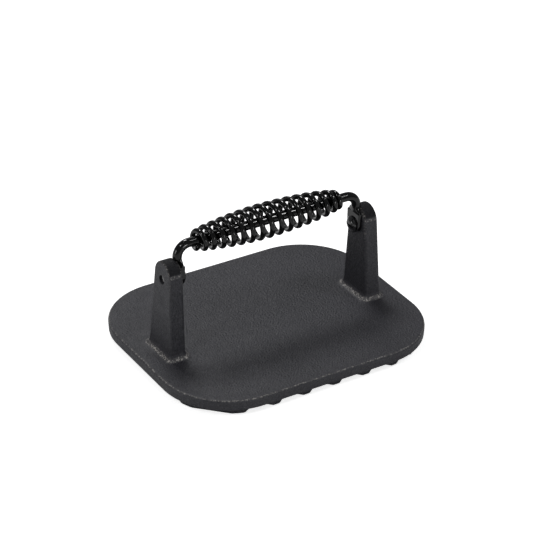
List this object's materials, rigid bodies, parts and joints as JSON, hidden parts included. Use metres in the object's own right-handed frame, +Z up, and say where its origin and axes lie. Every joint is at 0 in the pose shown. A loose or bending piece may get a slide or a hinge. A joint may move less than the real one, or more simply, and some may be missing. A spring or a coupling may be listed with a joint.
{
  "type": "grill press",
  "caption": "Rounded rectangular cast iron grill press with diagonal ribs underneath, cast posts and a bent rod handle that folds, with a barrel-shaped spiral wire grip.",
  "frame": {"origin": "centre of the footprint, at the height of the rib bottoms the press rests on", "axes": "+X along the long side, from the left post to the right post; +Y across, away from the viewer in the picture; +Z up through the handle"},
  "size_m": [0.2094, 0.1698, 0.1079],
  "materials": {
    "cast_iron_black": "seasoned, fine sand texture, satin",
    "rod_black": "gloss black",
    "wire_black": "gloss black",
    "screw_black": "gloss black"
  },
  "bodies": {
    "press": {"cast_body": "cast_iron_black", "screw_left": "screw_black", "screw_right": "screw_black"},
    "handle": {"handle_rod": "rod_black"},
    "grip": {"spiral_grip": "wire_black"}
  },
  "joints": [
    {"name": "handle_fold", "type": "hinge", "parent": "press", "child": "handle", "pos_m": [0, 0, 0.0711], "axis": [1, 0, 0], "range_deg": [-90, 90]},
    {"name": "grip_spin", "type": "hinge", "parent": "handle", "child": "grip", "pos_m": [0, 0, 0.0948], "axis": [1, 0, 0], "continuous": true}
  ]
}
